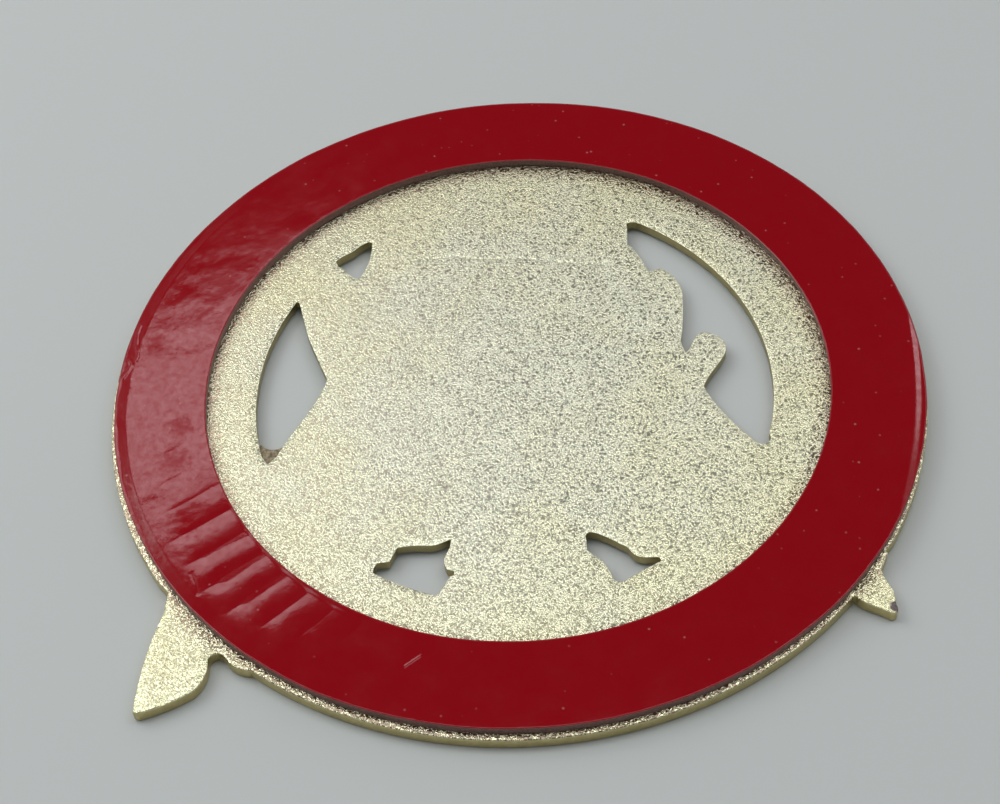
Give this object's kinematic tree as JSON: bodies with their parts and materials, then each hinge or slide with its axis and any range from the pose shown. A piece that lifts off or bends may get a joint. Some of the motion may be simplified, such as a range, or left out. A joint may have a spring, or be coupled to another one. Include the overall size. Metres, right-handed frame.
{
  "type": "adhesive-backed metal emblem",
  "caption": "Openwork cast metal emblem lying face down, with a ring of double-sided foam tape and a peel-off release liner on its sand-textured back.",
  "frame": {"origin": "on the plate's axis, in the plane that the raised front metal rests on", "axes": "+Z out of the taped back, -Z out of the enamelled front; in plan from +Z the large spur points to -X -Y and the small spur to +X -Y"},
  "size_m": [0.0806, 0.0807, 0.0023],
  "materials": {
    "gold_plating": "pale gold plating over a sand-cast back, with satin sides",
    "band_enamel": "glossy dark blue enamel fill",
    "field_enamel": "glossy green enamel fill",
    "ball_enamel": "glossy off-white enamel fill",
    "adhesive": "clear tacky acrylic adhesive",
    "foam": "grey translucent acrylic foam with a clean die-cut edge",
    "liner_film": "glossy deep red polyethylene film with fine creases"
  },
  "bodies": {
    "emblem": {"emblem_plate": "gold_plating", "band_enamel": "band_enamel", "field_enamel": "field_enamel", "ball_enamel": "ball_enamel", "plate_side_adhesive": "adhesive", "foam_carrier": "foam", "face_side_adhesive": "adhesive"},
    "liner": {"release_liner": "liner_film"}
  },
  "joints": [
    {"name": "liner_lift", "type": "slide", "parent": "emblem", "child": "liner", "axis": [0, 0, 1], "range_m": [0, 0.012]}
  ]
}
